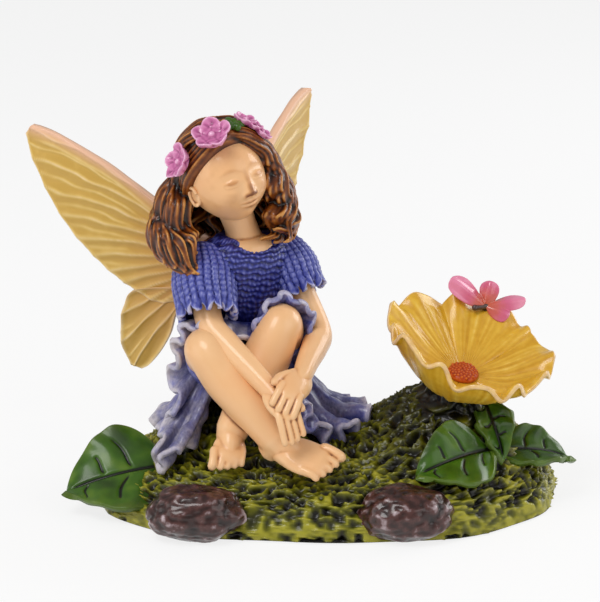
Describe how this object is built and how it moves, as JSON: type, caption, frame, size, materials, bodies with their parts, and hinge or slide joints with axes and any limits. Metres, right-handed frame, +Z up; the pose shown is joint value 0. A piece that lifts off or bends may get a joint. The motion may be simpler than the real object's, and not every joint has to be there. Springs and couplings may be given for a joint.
{
  "type": "fairy figurine",
  "caption": "Cast resin garden ornament: a seated winged girl with a flower wreath on a mossy mound, beside a large open flower with a butterfly on its rim.",
  "frame": {"origin": "on the flat underside, under the girl's left hip and near the middle of the mound", "axes": "+X runs along the mound from the girl to the flower, -Y is the side that the girl and the flower face, and +Z is up"},
  "size_m": [0.103, 0.0799, 0.0715],
  "materials": {
    "painted_resin": "cast resin, hand painted in many colours and clear coated",
    "skin": "warm peach paint under a glossy clear coat",
    "hair": "brown paint with ochre brushed on the raised locks, glossy",
    "dress": "periwinkle paint, pale dry brush on the folds, satin gloss",
    "wing": "ochre yellow with cream veins and a pink front edge, satin",
    "blossom": "pink paint with paler edges, glossy",
    "petal": "yellow paint with ochre streaks and pale rims, glossy",
    "butterfly": "coral pink paint with a black body, glossy",
    "moss": "lime green dry brush over black-brown pits, glossy",
    "leaf": "mid green with dark cut veins, glossy",
    "stone": "dark brown with grey-white dry brush, glossy"
  },
  "bodies": {
    "root": {"fairy_figurine": "painted_resin"}
  },
  "joints": []
}
